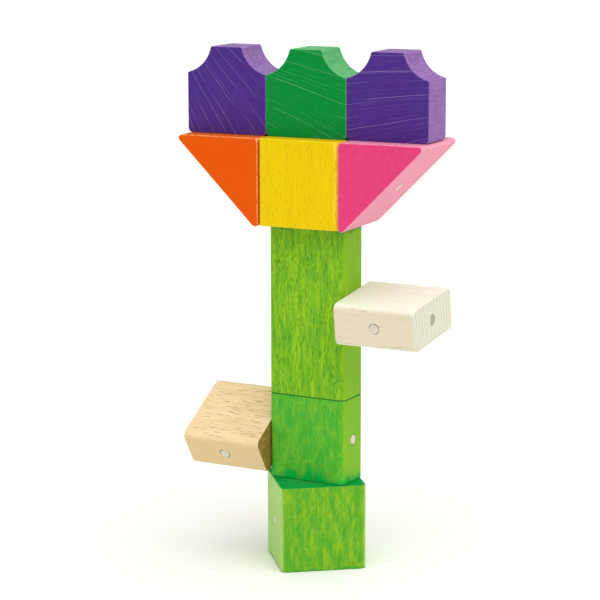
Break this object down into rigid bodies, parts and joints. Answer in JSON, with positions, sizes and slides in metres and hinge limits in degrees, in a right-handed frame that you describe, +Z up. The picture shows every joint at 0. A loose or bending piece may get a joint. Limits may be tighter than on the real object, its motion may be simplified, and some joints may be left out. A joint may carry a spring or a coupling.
{
  "type": "magnetic block flower",
  "caption": "Flower stacked from wooden building blocks with magnets inside: stem, head with prisms, notched petals and side leaves that swivel and pull off.",
  "frame": {"origin": "middle of the foot cube's underside, on the stem's axis", "axes": "+Z up along the stem, +X along the petal row to the right as the front is seen, -Y the front"},
  "size_m": [0.1212, 0.0534, 0.2401],
  "materials": {
    "green_dye": "beech dyed leaf green, satin, grain showing through",
    "yellow_dye": "beech dyed yellow, satin",
    "orange_dye": "beech dyed orange, satin",
    "pink_dye": "beech dyed pink, satin",
    "purple_dye": "beech dyed purple, satin, end grain in front",
    "deep_green_dye": "beech dyed deep green, satin, end grain in front",
    "pale_wood": "bare whitish wood, sanded",
    "bare_beech": "bare beech, sanded",
    "plug_wood": "bare plug, sanded flush",
    "magnet_nickel": "nickel-plated magnet, hidden"
  },
  "bodies": {
    "foot": {"foot_cube": "green_dye", "foot_plugs": "plug_wood", "foot_magnets": "magnet_nickel"},
    "foot_pivot": {"foot_top_magnet": "magnet_nickel"},
    "lower_stem": {"lower_stem_block": "green_dye", "lower_stem_plugs": "plug_wood", "lower_stem_magnets": "magnet_nickel"},
    "left_leaf_pivot": {"lower_left_magnet": "magnet_nickel"},
    "left_leaf": {"left_leaf": "bare_beech", "left_leaf_plugs": "plug_wood", "left_leaf_magnets": "magnet_nickel"},
    "lower_pivot": {"lower_top_magnet": "magnet_nickel"},
    "tall_stem": {"tall_stem_block": "green_dye", "tall_stem_plugs": "plug_wood", "tall_stem_magnets": "magnet_nickel"},
    "right_leaf_pivot": {"tall_right_magnet": "magnet_nickel"},
    "right_leaf": {"right_leaf": "pale_wood", "right_leaf_plugs": "plug_wood", "right_leaf_magnets": "magnet_nickel"},
    "tall_pivot": {"tall_top_magnet": "magnet_nickel"},
    "head": {"head_cube": "yellow_dye", "head_plugs": "plug_wood", "head_magnets": "magnet_nickel"},
    "left_prism_pivot": {"head_left_magnet": "magnet_nickel"},
    "left_prism": {"left_prism": "orange_dye", "left_prism_plugs": "plug_wood", "left_prism_magnets": "magnet_nickel"},
    "right_prism_pivot": {"head_right_magnet": "magnet_nickel"},
    "right_prism": {"right_prism": "pink_dye", "right_prism_plugs": "plug_wood", "right_prism_magnets": "magnet_nickel"},
    "left_petal": {"left_petal": "purple_dye", "left_petal_plug": "plug_wood", "left_petal_magnet": "magnet_nickel"},
    "centre_petal": {"centre_petal": "deep_green_dye", "centre_petal_plug": "plug_wood", "centre_petal_magnet": "magnet_nickel"},
    "right_petal": {"right_petal": "purple_dye", "right_petal_plug": "plug_wood", "right_petal_magnet": "magnet_nickel"}
  },
  "joints": [
    {"name": "stem_turn", "type": "hinge", "parent": "foot", "child": "foot_pivot", "pos_m": [0, 0, 0.04002], "axis": [0, 0, 1], "continuous": true},
    {"name": "stem_lift", "type": "slide", "parent": "foot_pivot", "child": "lower_stem", "axis": [0, 0, 1], "range_m": [0, 0.04]},
    {"name": "tall_turn", "type": "hinge", "parent": "lower_stem", "child": "lower_pivot", "pos_m": [0, 0, 0.08004], "axis": [0, 0, 1], "continuous": true},
    {"name": "tall_lift", "type": "slide", "parent": "lower_pivot", "child": "tall_stem", "axis": [0, 0, 1], "range_m": [0, 0.04]},
    {"name": "head_turn", "type": "hinge", "parent": "tall_stem", "child": "tall_pivot", "pos_m": [0, 0, 0.16006], "axis": [0, 0, 1], "continuous": true},
    {"name": "head_lift", "type": "slide", "parent": "tall_pivot", "child": "head", "axis": [0, 0, 1], "range_m": [0, 0.04]},
    {"name": "right_leaf_turn", "type": "hinge", "parent": "tall_stem", "child": "right_leaf_pivot", "pos_m": [0.01957, -0.00103, 0.12004], "axis": [0.9986, -0.0523, 0], "continuous": true},
    {"name": "right_leaf_pull", "type": "slide", "parent": "right_leaf_pivot", "child": "right_leaf", "axis": [0.9986, -0.0523, 0], "range_m": [0, 0.04]},
    {"name": "left_leaf_turn", "type": "hinge", "parent": "lower_stem", "child": "left_leaf_pivot", "pos_m": [-0.01957, 0.00103, 0.06002], "axis": [0.9986, -0.0523, 0], "range_deg": [-75, 11]},
    {"name": "left_leaf_pull", "type": "slide", "parent": "left_leaf_pivot", "child": "left_leaf", "axis": [-0.9986, 0.0523, 0], "range_m": [0, 0.04]},
    {"name": "right_prism_turn", "type": "hinge", "parent": "head", "child": "right_prism_pivot", "pos_m": [0.02, 0, 0.18006], "axis": [1, 0, 0], "range_deg": [-145, 145]},
    {"name": "right_prism_pull", "type": "slide", "parent": "right_prism_pivot", "child": "right_prism", "axis": [1, 0, 0], "range_m": [0, 0.04]},
    {"name": "left_prism_turn", "type": "hinge", "parent": "head", "child": "left_prism_pivot", "pos_m": [-0.02, 0, 0.18006], "axis": [1, 0, 0], "range_deg": [-145, 145]},
    {"name": "left_prism_pull", "type": "slide", "parent": "left_prism_pivot", "child": "left_prism", "axis": [-1, 0, 0], "range_m": [0, 0.04]},
    {"name": "left_petal_lift", "type": "slide", "parent": "left_prism", "child": "left_petal", "axis": [0, 0, 1], "range_m": [0, 0.04]},
    {"name": "centre_petal_lift", "type": "slide", "parent": "head", "child": "centre_petal", "axis": [0, 0, 1], "range_m": [0, 0.04]},
    {"name": "right_petal_lift", "type": "slide", "parent": "right_prism", "child": "right_petal", "axis": [0, 0, 1], "range_m": [0, 0.04]}
  ]
}
